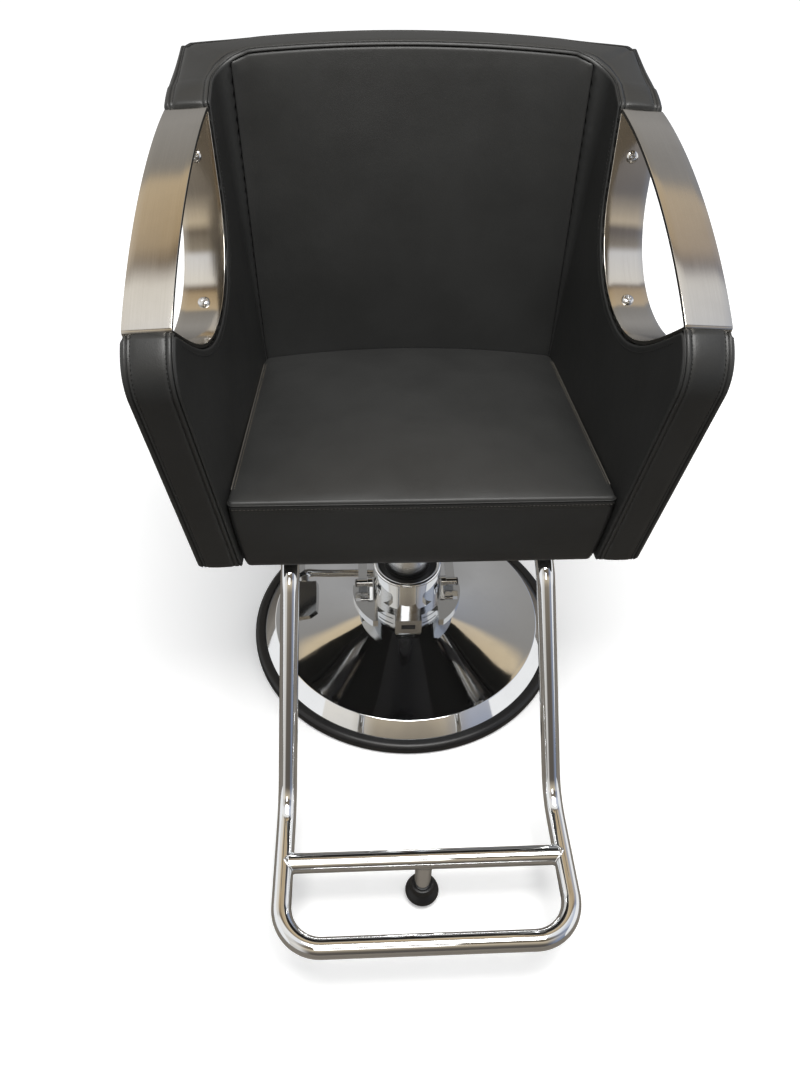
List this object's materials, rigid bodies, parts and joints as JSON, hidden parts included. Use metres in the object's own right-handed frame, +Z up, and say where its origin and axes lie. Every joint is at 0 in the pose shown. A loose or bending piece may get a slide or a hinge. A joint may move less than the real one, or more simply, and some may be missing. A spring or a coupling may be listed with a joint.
{
  "type": "hairdressing chair",
  "caption": "Upholstered bucket chair with looped metal armrests and a tube footrest on a hydraulic pump with a round base.",
  "frame": {"origin": "on the pump's axis, at floor level", "axes": "+Z up, the seat faces -Y, +X is to the right as the chair is seen from its front with -Y towards the viewer"},
  "size_m": [0.6746, 0.9749, 1],
  "materials": {
    "leatherette": "satin",
    "strap_steel": "satin",
    "chrome": "polished",
    "sleeve_steel": "satin",
    "cast_metal": "satin",
    "plate_steel": "satin",
    "plain_steel": "satin",
    "bright_fastener": "satin",
    "bronze": "satin",
    "black_rubber": "matte",
    "black_plastic": "matte",
    "plywood": "matte"
  },
  "bodies": {
    "base": {"base_plate": "plate_steel", "base_cover": "chrome", "rim_ring": "black_rubber", "pump_foot": "plate_steel", "foot_bolts": "plain_steel", "pump_jacket": "chrome", "wiper_ring": "black_rubber", "oil_cylinder": "plain_steel", "rod_gland": "bronze", "pump_collar": "cast_metal", "collar_bolts": "bright_fastener", "boss_plug": "black_plastic", "pivot_pins": "plain_steel", "pin_clips": "plate_steel"},
    "pedal": {"pedal_yoke": "cast_metal", "pedal_lever": "chrome", "pedal_pad": "cast_metal"},
    "ram": {"piston_rod": "plain_steel", "piston_head": "plain_steel", "ram_sleeve": "sleeve_steel", "ram_cap": "sleeve_steel", "thrust_washer": "bronze"},
    "seat": {"swivel_hub": "plate_steel", "mount_plate": "plate_steel", "mount_bolts": "plain_steel", "seat_board": "plywood", "seat_cushion": "leatherette", "left_side_panel": "leatherette", "right_side_panel": "leatherette", "left_arm_strap": "strap_steel", "right_arm_strap": "strap_steel", "arm_bolts": "bright_fastener", "back_shell": "leatherette", "back_cushion": "leatherette", "footrest_tube": "chrome", "footrest_crossbar": "chrome", "footrest_post": "chrome", "post_foot": "black_rubber", "footrest_clamps": "plate_steel", "clamp_screws": "plain_steel", "tube_plugs": "black_plastic"}
  },
  "joints": [
    {"name": "seat_lift", "type": "slide", "parent": "base", "child": "ram", "axis": [0, 0, 1], "range_m": [0, 0.15]},
    {"name": "seat_swivel", "type": "hinge", "parent": "ram", "child": "seat", "pos_m": [0, 0, 0.384], "axis": [0, 0, 1], "continuous": true},
    {"name": "pump_pedal", "type": "hinge", "parent": "base", "child": "pedal", "pos_m": [0, 0, 0.127], "axis": [-1, 0, 0], "range_deg": [0, 13], "stiffness_Nm_per_rad": 5, "springref_deg": -34.38}
  ]
}
